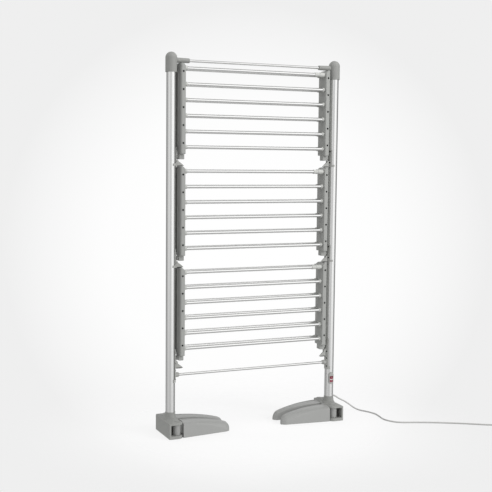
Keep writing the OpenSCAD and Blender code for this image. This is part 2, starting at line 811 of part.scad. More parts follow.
module switch_rocker() {
    face = switch_face + 2 - rocker_hub_y;
    color(red) translate([0, -rocker_hub_y, rocker_z]) rotate([rocker_tilt, 0, 0]) {
        along_x(post_x - rocker_w / 2, post_x + rocker_w / 2)
            polygon([[-face, -rocker_h / 2 + 1], [-face + 1.6, 0], [-face, rocker_h / 2 - 1],
                [-face + 1, rocker_h / 2 - 0.3], [-1.6, rocker_h / 2 - 0.6],
                [-1.6, -rocker_h / 2 + 0.6], [-face + 1, -rocker_h / 2 + 0.3]]);
        rod_x(post_x - rocker_w / 2 + 1, post_x + rocker_w / 2 - 1, 0, 0, rocker_hub_r);
    }
}

// Cord and what is on it
module cord_gland() {
    color(light_grey) translate([post_x, 0, cord_z]) rotate([0, 0, gland_way])
        translate([post_r + face_gap, 0, 0]) rotate([0, 90, 0]) {
            cylinder(h = 3, r = gland_root_r);
            translate([0, 0, 3]) cylinder(h = gland_l - 3, r1 = gland_root_r - 1.5, r2 = cord_r + 0.6);
        }
}

function unit(v) = v / norm(v);

// Smooth curve through the route: cubic pieces whose slopes come from the neighbouring points
function route_at(p, j, t) = let (
    n = len(p) - 1,
    a = p[max(j - 1, 0)],
    b = p[j],
    c = p[j + 1],
    d = p[min(j + 2, n)])
    0.5 * (2 * b + (c - a) * t + (2 * a - 5 * b + 4 * c - d) * t * t
        + (3 * b - a - 3 * c + d) * t * t * t);
function route_points(p, steps) = concat(
    [for (j = [0:len(p) - 2]) for (k = [0:steps - 1]) route_at(p, j, k / steps)],
    [p[len(p) - 1]]);

// A round tube along points, its ends square to the first and last stretch
function ring_dir(q, j) = unit(q[min(j + 1, len(q) - 1)] - q[max(j - 1, 0)]);
function tube_ring(c, dir, r, sides) = let (
    side = unit(cross(dir, [0, 0, 1])),
    up = cross(side, dir))
    [for (k = [0:sides - 1]) let (a = 360 * (k + 0.5) / sides)
        c + r * (cos(a) * side + sin(a) * up)];
function tube_rings(q, r, sides) = [for (j = [0:len(q) - 1]) tube_ring(q[j], ring_dir(q, j), r, sides)];

module power_cord() {
    q = route_points(cord_route, cord_steps);
    run = [for (j = [1:len(q) - 1]) norm(q[j] - q[j - 1])];
    echo(cord_run = sum(run));
    color(light_grey) loft(tube_rings(q, cord_r, cord_sides));
}

function sum(v, k = 0) = k == len(v) ? 0 : v[k] + sum(v, k + 1);

// The coil's middle line at turn u: in along the floor layer, out along the upper layer
function coil_r(u) = coil_out_r - coil_step * (coil_turns / 2 - abs(u - coil_turns / 2));
function coil_lift(u) = let (v = (u - coil_turns / 2) / 0.5 + 0.5)
    coil_step * min(1, max(0, v));
function coil_at(u) = let (a = coil_heading - 90 + 360 * u)
    [coil_centre[0] + coil_r(u) * cos(a), coil_centre[1] + coil_r(u) * sin(a),
     coil_low + coil_lift(u)];
coil_count = round(coil_turns * coil_rings);
coil_loops = [for (k = [0:coil_count]) coil_at(coil_turns * k / coil_count)];
coil_end = coil_at(coil_turns);
coil_way = coil_heading + 360 * coil_turns;
// From the last loop the lead runs out straight and comes down to the plug's height
coil_fall = coil_end[2] - plug_z;
coil_tail = [for (t = [[12, 0.3], [24, 1.8], [36, 3.6], [46, coil_fall], [52, coil_fall]])
    coil_end + [t[0] * cos(coil_way), t[0] * sin(coil_way), -t[1]]];
coil_points = concat([coil_entry], coil_loops, coil_tail);
plug_at = coil_points[len(coil_points) - 1];

module cord_coil() {
    near = [for (j = [0:len(coil_points) - 1]) for (k = [j + 12:1:len(coil_points) - 1])
        norm(coil_points[k] - coil_points[j])];
    run = [for (j = [1:len(coil_points) - 1]) norm(coil_points[j] - coil_points[j - 1])];
    echo(coil_least_gap = min(near) - cord_d);
    echo(coil_run = sum(run));
    color(light_grey) loft(tube_rings(coil_points, cord_r, coil_sides));
}

module cord_tie() {
    inner = coil_out_r - coil_step * coil_turns / 2 - cord_r - 1;
    outer = coil_out_r + cord_r + 1;
    high = coil_low + coil_step + cord_r + 0.5;
    color(dark) translate([coil_centre[0], coil_centre[1], 0]) rotate([0, 0, coil_heading + 60])
        difference() {
            translate([inner - tie_t, -tie_w / 2, 0])
                cube([outer - inner + 2 * tie_t, tie_w, high + tie_t]);
            translate([inner, -tie_w, tie_t]) cube([outer - inner, 2 * tie_w, high - tie_t]);
        }
}

module plug_frame() {
    translate([plug_at[0], plug_at[1], plug_z]) rotate([0, 0, coil_way]) children();
}

module plug_body() {
    color(light_grey) plug_frame() {
        rotate([0, 90, 0]) cylinder(h = 14, r1 = cord_r + 0.8, r2 = 5.5);
        translate([0, 0, -6.8]) linear_extrude(13.6)
            polygon([[13, -6], [22, -8], [30, -12.5], [44, -13.5], [48, -12], [48, 12], [44, 13.5],
                [30, 12.5], [22, 8], [13, 6]]);
    }
}

module plug_pins() {
    color(aluminium) plug_frame() for (e = [-1, 1])
        translate([48, e * 9.3, 0]) rotate([0, 90, 0]) cylinder(h = 19, r = 2);
}

post(-1);  // left_post
post(1);  // right_post
cap(-1);  // left_cap
cap(1);  // right_cap
top_bar();
bottom_bar();
bracket(-1, 1);  // left_bracket_1
bracket(-1, 2);  // left_bracket_2
bracket(-1, 3);  // left_bracket_3
bracket(1, 1);  // right_bracket_1
bracket(1, 2);  // right_bracket_2
bracket(1, 3);  // right_bracket_3
bracket_screws();
wing_pivot_pins();
base(-1);  // left_base
base(1);  // right_base
base_covers();
base_pads();
leg_hinge_pins();
leg(-1, -1);  // leg_left_front
leg(-1, 1);  // leg_left_rear
leg(1, -1);  // leg_right_front
leg(1, 1);  // leg_right_rear
leg_pad(-1, -1);  // pad_left_front
leg_pad(-1, 1);  // pad_left_rear
leg_pad(1, -1);  // pad_right_front
leg_pad(1, 1);  // pad_right_rear
front_shell(-1, 1);  // wing_1_left_front_shell
back_shell(-1, 1);  // wing_1_left_back_shell
front_shell(1, 1);  // wing_1_right_front_shell
back_shell(1, 1);  // wing_1_right_back_shell
rungs(1);  // wing_1_rungs
collars(1);  // wing_1_collars
heating_elements(1);  // wing_1_heating_elements
wing_screws(1);  // wing_1_screws
front_shell(-1, 2);  // wing_2_left_front_shell
back_shell(-1, 2);  // wing_2_left_back_shell
front_shell(1, 2);  // wing_2_right_front_shell
back_shell(1, 2);  // wing_2_right_back_shell
rungs(2);  // wing_2_rungs
collars(2);  // wing_2_collars
heating_elements(2);  // wing_2_heating_elements
wing_screws(2);  // wing_2_screws
front_shell(-1, 3);  // wing_3_left_front_shell
back_shell(-1, 3);  // wing_3_left_back_shell
front_shell(1, 3);  // wing_3_right_front_shell
back_shell(1, 3);  // wing_3_right_back_shell
rungs(3);  // wing_3_rungs
collars(3);  // wing_3_collars
heating_elements(3);  // wing_3_heating_elements
wing_screws(3);  // wing_3_screws
switch_housing();
switch_body();
switch_rocker();
cord_gland();
power_cord();
cord_coil();
cord_tie();
plug_body();
plug_pins();
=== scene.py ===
# Heated clothes airer: camera, finishes, cord, finer pieces, floor and light for the frame
import json
import math

import bpy
from mathutils import Matrix, Vector


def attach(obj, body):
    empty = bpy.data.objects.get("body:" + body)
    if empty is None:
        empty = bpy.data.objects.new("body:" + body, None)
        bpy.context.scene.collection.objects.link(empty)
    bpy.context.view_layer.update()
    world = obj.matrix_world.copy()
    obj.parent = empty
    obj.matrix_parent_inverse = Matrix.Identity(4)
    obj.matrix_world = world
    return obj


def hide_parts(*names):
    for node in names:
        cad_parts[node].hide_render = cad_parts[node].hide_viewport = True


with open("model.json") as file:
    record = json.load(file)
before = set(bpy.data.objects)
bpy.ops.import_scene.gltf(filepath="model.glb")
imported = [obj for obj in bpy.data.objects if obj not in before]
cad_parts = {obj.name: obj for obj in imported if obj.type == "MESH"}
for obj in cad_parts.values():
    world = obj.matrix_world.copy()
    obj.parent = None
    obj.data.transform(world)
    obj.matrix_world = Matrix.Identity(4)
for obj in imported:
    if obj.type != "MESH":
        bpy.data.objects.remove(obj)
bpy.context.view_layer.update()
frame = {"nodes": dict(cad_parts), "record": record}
bpy.ops.object.select_all(action="DESELECT")
print("frame loaded:", len(frame["nodes"]), "nodes")

mm = 0.001


# Places and turns, in millimetres and degrees
def moved(x, y, z):
    return Matrix.Translation(Vector((x, y, z)) * mm)


def turned(degrees, axis):
    return Matrix.Rotation(math.radians(degrees), 4, axis)


# Camera where the photograph was taken from
cameraSettings = {
    "place": (-1.52728, -3.34317, 1.02062),
    "yaw": 24.0825,
    "pitch": 5.0449,
    "roll": 0.5714,
    "lens": 70.98,
    "sensor": 36.0,
}


def addCamera(settings):
    data = bpy.data.cameras.new("photoCamera")
    data.lens = settings["lens"]
    data.sensor_width = settings["sensor"]
    camera = bpy.data.objects.new("photoCamera", data)
    bpy.context.scene.collection.objects.link(camera)
    camera.matrix_world = (Matrix.Translation(settings["place"]) @ turned(-settings["yaw"], "Z")
                           @ turned(90 - settings["pitch"], "X") @ turned(settings["roll"], "Z"))
    bpy.context.scene.camera = camera


addCamera(cameraSettings)
print("camera placed")


# Shader maths: a socket that can be added, multiplied and so on in plain expressions
class Wire:
    def __init__(self, finish, socket):
        self.finish = finish
        self.socket = socket

    def join(self, operation, first, second):
        return self.finish.node("ShaderNodeMath", {"operation": operation}, {0: first, 1: second})

    def __add__(self, other):
        return self.join("ADD", self, other)

    def __radd__(self, other):
        return self.join("ADD", other, self)

    def __sub__(self, other):
        return self.join("SUBTRACT", self, other)

    def __rsub__(self, other):
        return self.join("SUBTRACT", other, self)

    def __mul__(self, other):
        return self.join("MULTIPLY", self, other)

    def __rmul__(self, other):
        return self.join("MULTIPLY", other, self)


def grey(tone):
    return (tone, tone, tone, 1)


def shade(colour, factor):
    return tuple(c * factor for c in colour) + (1,)


class Finish:
    # a material's nodes, or the world's
    def __init__(self, owner):
        owner.use_nodes = True
        self.owner = owner
        self.tree = owner.node_tree

    def node(self, kind, settings=None, values=None, out=0):
        made = self.tree.nodes.new(kind)
        for key, value in (settings or {}).items():
            if key == "stops":
                while len(made.color_ramp.elements) < len(value):
                    made.color_ramp.elements.new(0.5)
                for stop, (place, tone) in zip(made.color_ramp.elements, value):
                    stop.position = place
                    stop.color = grey(tone)
            else:
                setattr(made, key, value)
        for key, value in (values or {}).items():
            self.fill(made, key, value)
        return Wire(self, made.outputs[out])

    def fill(self, node, key, value):
        if isinstance(value, Wire):
            self.tree.links.new(value.socket, node.inputs[key])
        else:
            node.inputs[key].default_value = value

    def find(self, kind):
        return next(n for n in self.tree.nodes if n.bl_idname == kind)

    def shader(self, **values):
        for key, value in values.items():
            self.fill(self.find("ShaderNodeBsdfPrincipled"), key.replace("_", " "), value)

    def place(self, scale=(1, 1, 1)):
        coords = self.node("ShaderNodeTexCoord", out="Object")
        return self.node("ShaderNodeMapping", None, {"Vector": coords, "Scale": scale})

    def noise(self, vector, scale, detail):
        values = {"Vector": vector, "Scale": scale, "Detail": detail, "Roughness": 0.55}
        return self.node("ShaderNodeTexNoise", None, values)

    def ramp(self, value, stops):
        return self.node("ShaderNodeValToRGB", {"stops": stops}, {"Fac": value})

    def graded(self, value, ends, curve="SMOOTHSTEP"):
        values = {"Value": value, "From Min": ends[0], "From Max": ends[1]}
        return self.node("ShaderNodeMapRange", {"interpolation_type": curve}, values)

    def mix(self, factor, first, second):
        values = {"Factor": factor, 6: first, 7: second}
        return self.node("ShaderNodeMix", {"data_type": "RGBA"}, values, out=2)

    def bump(self, height, strength, distance):
        values = {"Height": height, "Strength": strength, "Distance": distance}
        return self.node("ShaderNodeBump", None, values)


def newMaterial(name):
    return Finish(bpy.data.materials.new(name))


# Surfaces: each has a fine grain, and some have broad clouds too, both as a noise's scale and
# detail. The tone runs between the two shades: grainShare of it is the grain's, the rest the
# clouds'. grainRough and cloudRough say how much each changes the roughness.
surfaces = {
    # fine streaks along the tube over a slightly clouded satin
    "drawnAluminium": {"grain": (1.0, 2.0), "grainShare": 0.6, "grainRough": 0.07,
                       "clouds": (6.0, 2.0), "cloudRough": 0.04, "shades": (0.95, 1.04),
                       "bump": (0.02, 0.0002), "metallic": 1.0},
    # a fine spark-eroded grain, with faint flow clouds in the colour
    "mouldedPlastic": {"grain": (1400.0, 2.0), "grainShare": 0.3, "grainRough": 0.16,
                       "clouds": (7.0, 4.0), "cloudRough": 0.08, "shades": (0.95, 1.05),
                       "bump": (0.10, 0.0003)},
    "darkSteel": {"stretch": (900, 900, 900), "grain": (1.0, 2.0), "grainRough": 0.2,
                  "shades": (0.8, 1.2), "bump": (0.05, 0.0002), "metallic": 1.0},
    "softRubber": {"grain": (2100.0, 3.0), "grainRough": 0.2, "shades": (0.8, 1.3),
                   "bump": (0.2, 0.0003)},
    # clear plastic that looks darker where it is thick
    "clearPlastic": {"stretch": (60, 60, 110), "grain": (1.0, 2.0), "grainRough": 0.08,
                     "shades": (0.65, 1.25), "bump": (0.03, 0.0004), "coat": 0.6},
    # extruded vinyl with a faint dusty bloom
    "vinylSheath": {"grain": (900.0, 2.0), "grainShare": 0.2, "grainRough": 0.0,
                    "clouds": (60.0, 5.0), "cloudRough": 0.2, "shades": (0.9, 1.06),
                    "bump": (0.05, 0.0002)},
}


def addFinish(name, kind, colour, roughness, changes):
    surface = {"stretch": (1, 1, 1), "metallic": 0.0, "coat": 0.0, **surfaces[kind], **changes}
    finish = newMaterial(name)
    grain = finish.noise(finish.place(surface["stretch"]), *surface["grain"])
    factor, rough = grain, roughness + (grain - 0.5) * surface["grainRough"]
    if "clouds" in surface:
        clouds = finish.noise(finish.place(), *surface["clouds"])
        factor = grain * surface["grainShare"] + clouds * (1 - surface["grainShare"])
        rough = rough + (clouds - 0.5) * surface["cloudRough"]
    dark, light = surface["shades"]
    finish.shader(Base_Color=finish.mix(factor, shade(colour, dark), shade(colour, light)),
                  Roughness=rough, Metallic=surface["metallic"], Coat_Weight=surface["coat"],
                  Normal=finish.bump(grain, *surface["bump"]))
    return finish.owner


# Finish of each slot: its name, surface, colour, roughness and what it changes of the surface
alongX = {"stretch": (1.5, 260.0, 260.0)}
alongZ = {"stretch": (260.0, 260.0, 1.5)}
finishes = {
    "post_metal": ("satinPost", "drawnAluminium", (0.91, 0.912, 0.905), 0.26, alongZ),
    "bar_metal": ("satinBar", "drawnAluminium", (0.90, 0.90, 0.893), 0.16, alongX),
    "rung_metal": ("satinRung", "drawnAluminium", (0.92, 0.92, 0.913), 0.14, alongX),
    "cap_plastic": ("capGrey", "mouldedPlastic", (0.272, 0.275, 0.264), 0.46, {}),
    "rail_plastic": ("railGrey", "mouldedPlastic", (0.325, 0.330, 0.317), 0.44, {}),
    "bracket_plastic": ("bracketGrey", "mouldedPlastic", (0.35, 0.353, 0.338), 0.42,
                        {"bump": (0.08, 0.0003)}),
    "base_plastic": ("baseGrey", "mouldedPlastic", (0.272, 0.276, 0.264), 0.48,
                     {"bump": (0.12, 0.0003)}),
    "leg_plastic": ("legGrey", "mouldedPlastic", (0.298, 0.301, 0.293), 0.34,
                    {"bump": (0.05, 0.0003), "coat": 0.25}),
    "collar_plastic": ("collarGrey", "mouldedPlastic", (0.50, 0.505, 0.485), 0.36,
                       {"bump": (0.05, 0.0003)}),
    "black_plastic": ("blackPlastic", "mouldedPlastic", (0.03, 0.03, 0.032), 0.5, {}),
    # pale print for the rocker's marks, and the painted highlight bar between them
    "mark": ("paleMark", "mouldedPlastic", (0.80, 0.80, 0.78), 0.5, {"bump": (0.02, 0.0003)}),
    "rocker_plastic": ("clearRed", "clearPlastic", (0.22, 0.03, 0.055), 0.26, {}),
    "cord_plastic": ("greySheath", "vinylSheath", (0.47, 0.47, 0.46), 0.42, {}),
    "pad_rubber": ("blackRubber", "softRubber", (0.035, 0.035, 0.036), 0.78, {}),
    "element_rubber": ("elementSheath", "softRubber", (0.05, 0.05, 0.052), 0.78, {}),
    # dark steel for the screws, and painted shade on the black covers over the rail screws' holes
    "screw_metal": ("darkScrew", "darkSteel", (0.012, 0.012, 0.013), 0.45, {}),
    "pin_metal": ("plainSteel", "darkSteel", (0.6, 0.6, 0.6), 0.32, {}),
    "plug_metal": ("brightPin", "darkSteel", (0.75, 0.74, 0.7), 0.2, {}),
}
paint = {slot: addFinish(*row) for slot, row in finishes.items()}
print("finishes made:", len(paint))

slotOf = {s["node"]: s["material_slot"] for s in frame["record"]["subparts"]}
bodyOf = {n: b for b, nodes in frame["record"]["behaviour"]["bodies"].items() for n in nodes}


def isLeg(node):
    return node.startswith("leg_") and "pins" not in node


# Every carried-over node gets its finish, also those that a finer piece stands for
for node, carried in frame["nodes"].items():
    carried.data.materials.clear()
    carried.data.materials.append(paint["leg_plastic" if isLeg(node) else slotOf[node]])


# Cord: the route on the floor, then a coil of two layers, as one line
cordSettings = {
    "diameter": 6.0,
    "start": (335.0, 0.0, 75.0),
    "startReach": 17.5 + 0.3 + 26.0,  # the post's radius, a gap and the gland's length
    "startWay": 45.0,
    "steps": 5,
    "resolution": 5,
}
cordRoute = [
    (370, 35, 75), (375, 40, 75), (382, 46, 74), (391, 51, 70), (402, 54, 64), (413, 56, 56.5),
    (427, 58, 49), (441, 59, 42), (455, 60, 33), (469, 59, 23), (482, 54, 13), (494, 45, 6),
    (504, 31, 3), (513, 14, 3), (521, -5, 3), (527, -25, 3), (529, -48, 3), (526, -72, 3),
    (521, -97, 3), (518, -122, 3), (523, -147, 3), (537, -172, 3), (555, -188, 3), (577, -198, 3),
    (605, -208, 3), (650, -227, 3), (710, -257, 3), (780, -298, 3), (845, -341, 3),
    (883, -367, 4.3), (898, -377, 4.3), (919, -391, 4.3), (925, -395, 4.3),
]
coilSettings = {
    "turns": 4.2,
    "step": 6.7,
    "liftTurns": 0.5,  # the part of a turn over which the line climbs to the upper layer
    "low": 4.3,
    "outRadius": 40.0,
    "entry": (925.0, -395.0),
    "heading": math.degrees(math.atan2(-4, 6)),
    "pointsPerTurn": 36,
    "tail": [(12, 0.3), (24, 1.8), (36, 3.6), (46, 4.0), (52, 4.0)],
    "plugHeight": 7.0,
}


def cordStart(settings):
    x, y, z = settings["start"]
    way = math.radians(settings["startWay"])
    reach = settings["startReach"]
    return Vector((x + reach * math.cos(way), y + reach * math.sin(way), z))


def smoothRoute(points, steps):
    line = []
    for j in range(len(points) - 1):
        a, b = points[max(j - 1, 0)], points[j]
        c, d = points[j + 1], points[min(j + 2, len(points) - 1)]
        for k in range(steps):
            t = k / steps
            line.append(0.5 * (2 * b + (c - a) * t + (2 * a - 5 * b + 4 * c - d) * t * t
                               + (3 * b - a - 3 * c + d) * t * t * t))
    return line


def coilLine(settings, diameter):
    turns, step = settings["turns"], settings["step"]
    heading = math.radians(settings["heading"])
    half = turns / 2
    ahead = Vector((math.cos(heading), math.sin(heading)))
    aside = Vector((-math.sin(heading), math.cos(heading)))
    centre = Vector(settings["entry"]) + diameter * ahead + settings["outRadius"] * aside
    line = []
    count = round(turns * settings["pointsPerTurn"])
    for k in range(count + 1):
        u = turns * k / count
        radius = settings["outRadius"] - step * (half - abs(u - half))
        angle = heading - math.pi / 2 + 2 * math.pi * u
        lift = step * min(1, max(0, (u - half) / settings["liftTurns"] + 0.5))
        line.append(Vector((centre.x + radius * math.cos(angle),
                            centre.y + radius * math.sin(angle), settings["low"] + lift)))
    way = heading + 2 * math.pi * turns
    end = line[-1].copy()
    fall = end.z - settings["plugHeight"]
    for along, drop in settings["tail"]:
        line.append(end + Vector((along * math.cos(way), along * math.sin(way), -min(drop, fall))))
    return line, way


def addCord(settings):
    start = cordStart(settings)
    entry = Vector((*coilSettings["entry"], coilSettings["low"]))
    route = smoothRoute([start] + [Vector(p) for p in cordRoute], settings["steps"])
    coil, way = coilLine(coilSettings, settings["diameter"])
    line = route + [entry] + coil
    length = sum((line[k + 1] - line[k]).length for k in range(len(line) - 1)) * mm
    curve = bpy.data.curves.new("supplyCord", "CURVE")
    curve.dimensions = "3D"
    curve.bevel_depth = settings["diameter"] / 2 * mm
    curve.bevel_resolution = settings["resolution"]
    curve.use_fill_caps = True
    spline = curve.splines.new("POLY")
    spline.points.add(len(line) - 1)
    for point, place in zip(spline.points, line):
        point.co = (*(place * mm), 1)
    spline.use_smooth = True
    cord = bpy.data.objects.new("supplyCord", curve)
    bpy.context.scene.collection.objects.link(cord)
    curve.materials.append(paint["cord_plastic"])
    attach(cord, "stand")
    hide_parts("power_cord", "cord_coil")
    return cord, start * mm, length, line[-1], way


supplyCord, cordExit, cordLength, plugPlace, plugWay = addCord(cordSettings)
print("cord laid: %.3f m" % cordLength)


# Tools for the pieces
def selectOnly(*pieces):
    bpy.ops.object.select_all(action="DESELECT")
    for piece in pieces:
        piece.select_set(True)
    bpy.context.view_layer.objects.active = pieces[0]


def shadeSmooth(degrees=35):
    # acts on the selected piece
    bpy.ops.object.shade_smooth_by_angle(angle=math.radians(degrees))


def settle():
    bpy.ops.object.transform_apply(location=True, rotation=True, scale=True)


def applyModifier(piece, kind, **values):
    selectOnly(piece)
    modifier = piece.modifiers.new(kind.lower(), kind)
    for key, value in values.items():
        setattr(modifier, key, value)
    bpy.ops.object.modifier_apply(modifier=modifier.name)


def bevelEdges(piece, width, angle, **values):
    applyModifier(piece, "BEVEL", width=width * mm, segments=2, limit_method="ANGLE",
                  angle_limit=math.radians(angle), **values)


def dress(piece, body, slot, *nodes, material=None):
    selectOnly(piece)
    settle()
    piece.data.materials.clear()
    piece.data.materials.append(material or paint[slot])
    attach(piece, body)
    if nodes:
        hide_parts(*nodes)
    return piece


# Copies of the nodes, with the triangles joined into clean faces, edges softened and shaded smooth
copySettings = {
    "mergeDistance": 0.00001, "flatAngle": 0.4, "edgeAngle": 40, "smoothAngle": 35.0,
    "legSmoothAngle": 18.0, "normalWeight": 80,
    # width of the softened edges, by the last word in a node's name that is listed here
    "softening": {
        "post": 0.3, "cap": 0.9, "bar": 0.4, "bracket": 0.5, "shell": 0.8, "base": 1.0,
        "leg": 0.8, "rungs": 0.2, "collars": 0.6, "housing": 0.7, "body": 1.1,
        "tie": 0.3, "pins": 0.3, "covers": 0.5, "pad": 0.3, "pads": 0.3,
    },
    "otherSoftening": 0.3,
}


def softeningFor(node, settings):
    words = [word for word in node.split("_") if word in settings["softening"]]
    return settings["softening"][words[-1]] if words else settings["otherSoftening"]


def softenedCopy(node, settings):
    words = node.split("_")
    name = words[0] + "".join(word.capitalize() for word in words[1:])
    piece = bpy.data.objects.new(name, frame["nodes"][node].data.copy())
    bpy.context.scene.collection.objects.link(piece)
    selectOnly(piece)
    bpy.ops.object.mode_set(mode="EDIT")
    bpy.ops.mesh.select_all(action="SELECT")
    bpy.ops.mesh.remove_doubles(threshold=settings["mergeDistance"])
    bpy.ops.mesh.dissolve_limited(angle_limit=math.radians(settings["flatAngle"]))
    bpy.ops.object.mode_set(mode="OBJECT")
    bevelEdges(piece, softeningFor(node, settings), settings["edgeAngle"],
               miter_outer="MITER_ARC")
    shadeSmooth(settings["legSmoothAngle" if isLeg(node) else "smoothAngle"])
    # the large faces keep their own normals, so long faces don't shade towards their ends
    applyModifier(piece, "WEIGHTED_NORMAL", keep_sharp=True, weight=settings["normalWeight"])
    return piece


# Nodes that finer pieces stand for, made one by one further down; the rods in the tubes stay
drawnAgain = ["power_cord", "cord_coil", "bracket_screws", "wing_1_screws", "wing_2_screws",
              "wing_3_screws", "switch_rocker", "cord_gland", "plug_pins"]
for node in frame["nodes"]:
    if node in drawnAgain or node.endswith("heating_elements"):
        continue
    dress(softenedCopy(node, copySettings), bodyOf[node], slotOf[node], node,
                         material=paint["leg_plastic"] if isLeg(node) else None)


def addCylinder(radius, low, high, sides):
    # along Z from low to high, in millimetres
    bpy.ops.mesh.primitive_cylinder_add(vertices=sides, radius=radius * mm,
                                        depth=(high - low) * mm,
                                        location=(0, 0, (low + high) / 2 * mm))
    settle()
    return bpy.context.object


def addBlock(size, place, turn=(0, 0, 0)):
    bpy.ops.mesh.primitive_cube_add(size=1, location=[v * mm for v in place], rotation=turn)
    piece = bpy.context.object
    piece.scale = [v * mm for v in size]
    settle()
    return piece


def combine(piece, other, operation):
    applyModifier(piece, "BOOLEAN", object=other, operation=operation, solver="EXACT")
    bpy.data.objects.remove(other)


def joinAll(parts, name):
    selectOnly(*parts)
    if len(parts) > 1:
        bpy.ops.object.join()
    joined = bpy.context.view_layer.objects.active
    joined.name = name
    return joined


def copyTo(template, matrix):
    part = template.copy()
    part.data = template.data.copy()
    part.data.transform(matrix)
    bpy.context.scene.collection.objects.link(part)
    return part


def softEdges(piece, width, angle=35.0):
    bevelEdges(piece, width, angle)
    shadeSmooth(30)


def closeUp():
    # in edit mode: all the faces of the piece are turned outwards
    bpy.ops.mesh.select_all(action="SELECT")
    bpy.ops.mesh.normals_make_consistent(inside=False)
    bpy.ops.object.mode_set(mode="OBJECT")


def turnedPiece(name, profile, sides=40):
    # a round piece along Z: a filled circle is extruded and resized from ring to ring
    low, radius = profile[0]
    bpy.ops.mesh.primitive_circle_add(vertices=sides, radius=radius * mm, fill_type="NGON",
                                      location=(0, 0, low * mm))
    piece = bpy.context.object
    piece.name = name
    settle()
    bpy.ops.object.mode_set(mode="EDIT")
    bpy.ops.mesh.select_all(action="SELECT")
    for height, wide in profile[1:]:
        bpy.ops.mesh.extrude_region_move(
            TRANSFORM_OT_translate={"value": (0, 0, (height - low) * mm)})
        bpy.ops.transform.resize(value=(wide / radius, wide / radius, 1),
                                 center_override=(0, 0, height * mm))
        low, radius = height, wide
    closeUp()
    return piece


# Screw head with a cross recess and a softened rim, on its shank; the face looks along +Z
def crossHead(settings):
    headSides, shankSides = settings["sides"]
    head = turnedPiece("crossHead", settings["head"], headSides)
    dome = settings["head"][-1][0]
    for turn in (0, math.pi / 2):
        combine(head, addBlock(settings["slit"], (0, 0, dome), (0, 0, turn)), "DIFFERENCE")
    head = joinAll([head, addCylinder(*settings["shank"], shankSides)], "crossHead")
    shadeSmooth()
    return head


# Each rail screw lies under a black cover over its hole: painted shade that stands for the dark
# hole.
# Profiles are heights and radii, and a shank is its radius, low end and high end.
railScrews = {
    "head": [(-2.0, 2.8), (-0.7, 2.8), (-0.2, 2.604), (0, 2.24), (0.35, 1.12)],
    "slit": (3.5, 0.875, 2.0), "shank": (1.25, -38.0, -1.9), "sides": (28, 16),
    "cover": [(3.0, 2.7), (3.35, 3.5), (3.8, 3.5), (4.1, 3.2), (4.25, 2.4), (4.1, 1.2)],
    "x": 296.5, "face": -21.5, "firstBelowTop": 12.2, "pitch": 64.4125, "count": 5,
    "topRungs": [1351.0, 979.3, 607.6], "twist": (17, 47, 31),
}


def addRailScrews(settings):
    template = crossHead(settings)
    # the black cover paints the shade of the screw hole
    cover = turnedPiece("screwCover", settings["cover"], settings["sides"][0])
    shadeSmooth()
    template = joinAll([template, cover], "coveredScrew")
    first, perScrew, perWing = settings["twist"]
    for wing, top in enumerate(settings["topRungs"], 1):
        parts = []
        for side in (-1, 1):
            for k in range(settings["count"]):
                z = top - settings["firstBelowTop"] - k * settings["pitch"]
                twist = turned(first + perScrew * k + perWing * side * wing, "Z")
                place = moved(side * settings["x"], settings["face"], z)
                parts.append(copyTo(template, place @ turned(90, "X") @ twist))
        piece = joinAll(parts, "wing%dScrews" % wing)
        dress(piece, "wing_%d" % wing, "screw_metal", "wing_%d_screws" % wing)
    bpy.data.objects.remove(template)


addRailScrews(railScrews)

# Dark rubber strips along the undersides of the fins, where the folded wings rest; their dark
# paints the shadow in the gap under each fin
shadowPads = {
    "left": 292.5, "right": 313.5, "front": -6.15, "back": (-1.4, 3.2, 12.0), "thick": 3.0,
    "sink": 0.45, "edge": 0.5, "undersides": [997.3, 625.6, 249.4],
}


def addShadowPads(settings):
    wide = settings["right"] - settings["left"]
    parts = []
    for low in settings["undersides"]:
        for side in (-1, 1):
            bpy.ops.mesh.primitive_grid_add(x_subdivisions=2, y_subdivisions=1, size=1)
            pad = bpy.context.object
            for vertex in pad.data.vertices:
                along = vertex.co.x + 0.5
                behind = settings["back"][round(2 * along)]
                vertex.co.y = (behind if vertex.co.y > 0 else settings["front"]) * mm
                vertex.co.x = side * (settings["left"] + along * wide) * mm
                vertex.co.z = (low - settings["sink"]) * mm
            bpy.ops.object.mode_set(mode="EDIT")
            bpy.ops.mesh.select_all(action="SELECT")
            bpy.ops.mesh.extrude_region_move(
                TRANSFORM_OT_translate={"value": (0, 0, settings["thick"] * mm)})
            closeUp()
            softEdges(pad, settings["edge"])
            parts.append(pad)
    dress(joinAll(parts, "finStopPads"), "stand", "pad_rubber")


addShadowPads(shadowPads)

bracketFixings = {
    "head": [(-1.4, 3.0), (-0.49, 3.0), (-0.14, 2.79), (0, 2.4), (0.5, 1.2)],
    "slit": (3.6, 0.9, 1.4), "shank": (1.5, -6.4, -1.3), "sides": (28, 16),
    "x": 335.0, "reach": 20.3, "turn": 208.0, "pivots": [1031.5, 659.8, 288.1],
    "drops": [(16.5, -26.5), (16.5, -26.5), (19.0, 46.0, 78.0)], "twistPerDrop": 13,
}


def addBracketFixings(settings):
    template = crossHead(settings)
    parts = []
    outward = moved(settings["reach"], 0, 0)
    for side in (-1, 1):
        turn = turned(settings["turn"] if side > 0 else 180 - settings["turn"], "Z")
        for pivot, drops in zip(settings["pivots"], settings["drops"]):
            for drop in drops:
                place = moved(side * settings["x"], 0, pivot - drop)
                twist = turned(drop * settings["twistPerDrop"], "Z")
                parts.append(copyTo(template, place @ turn @ outward @ turned(90, "Y") @ twist))
    dress(joinAll(parts, "bracketScrews"), "stand", "screw_metal", "bracket_screws")
    bpy.data.objects.remove(template)


addBracketFixings(bracketFixings)
print("screws set")
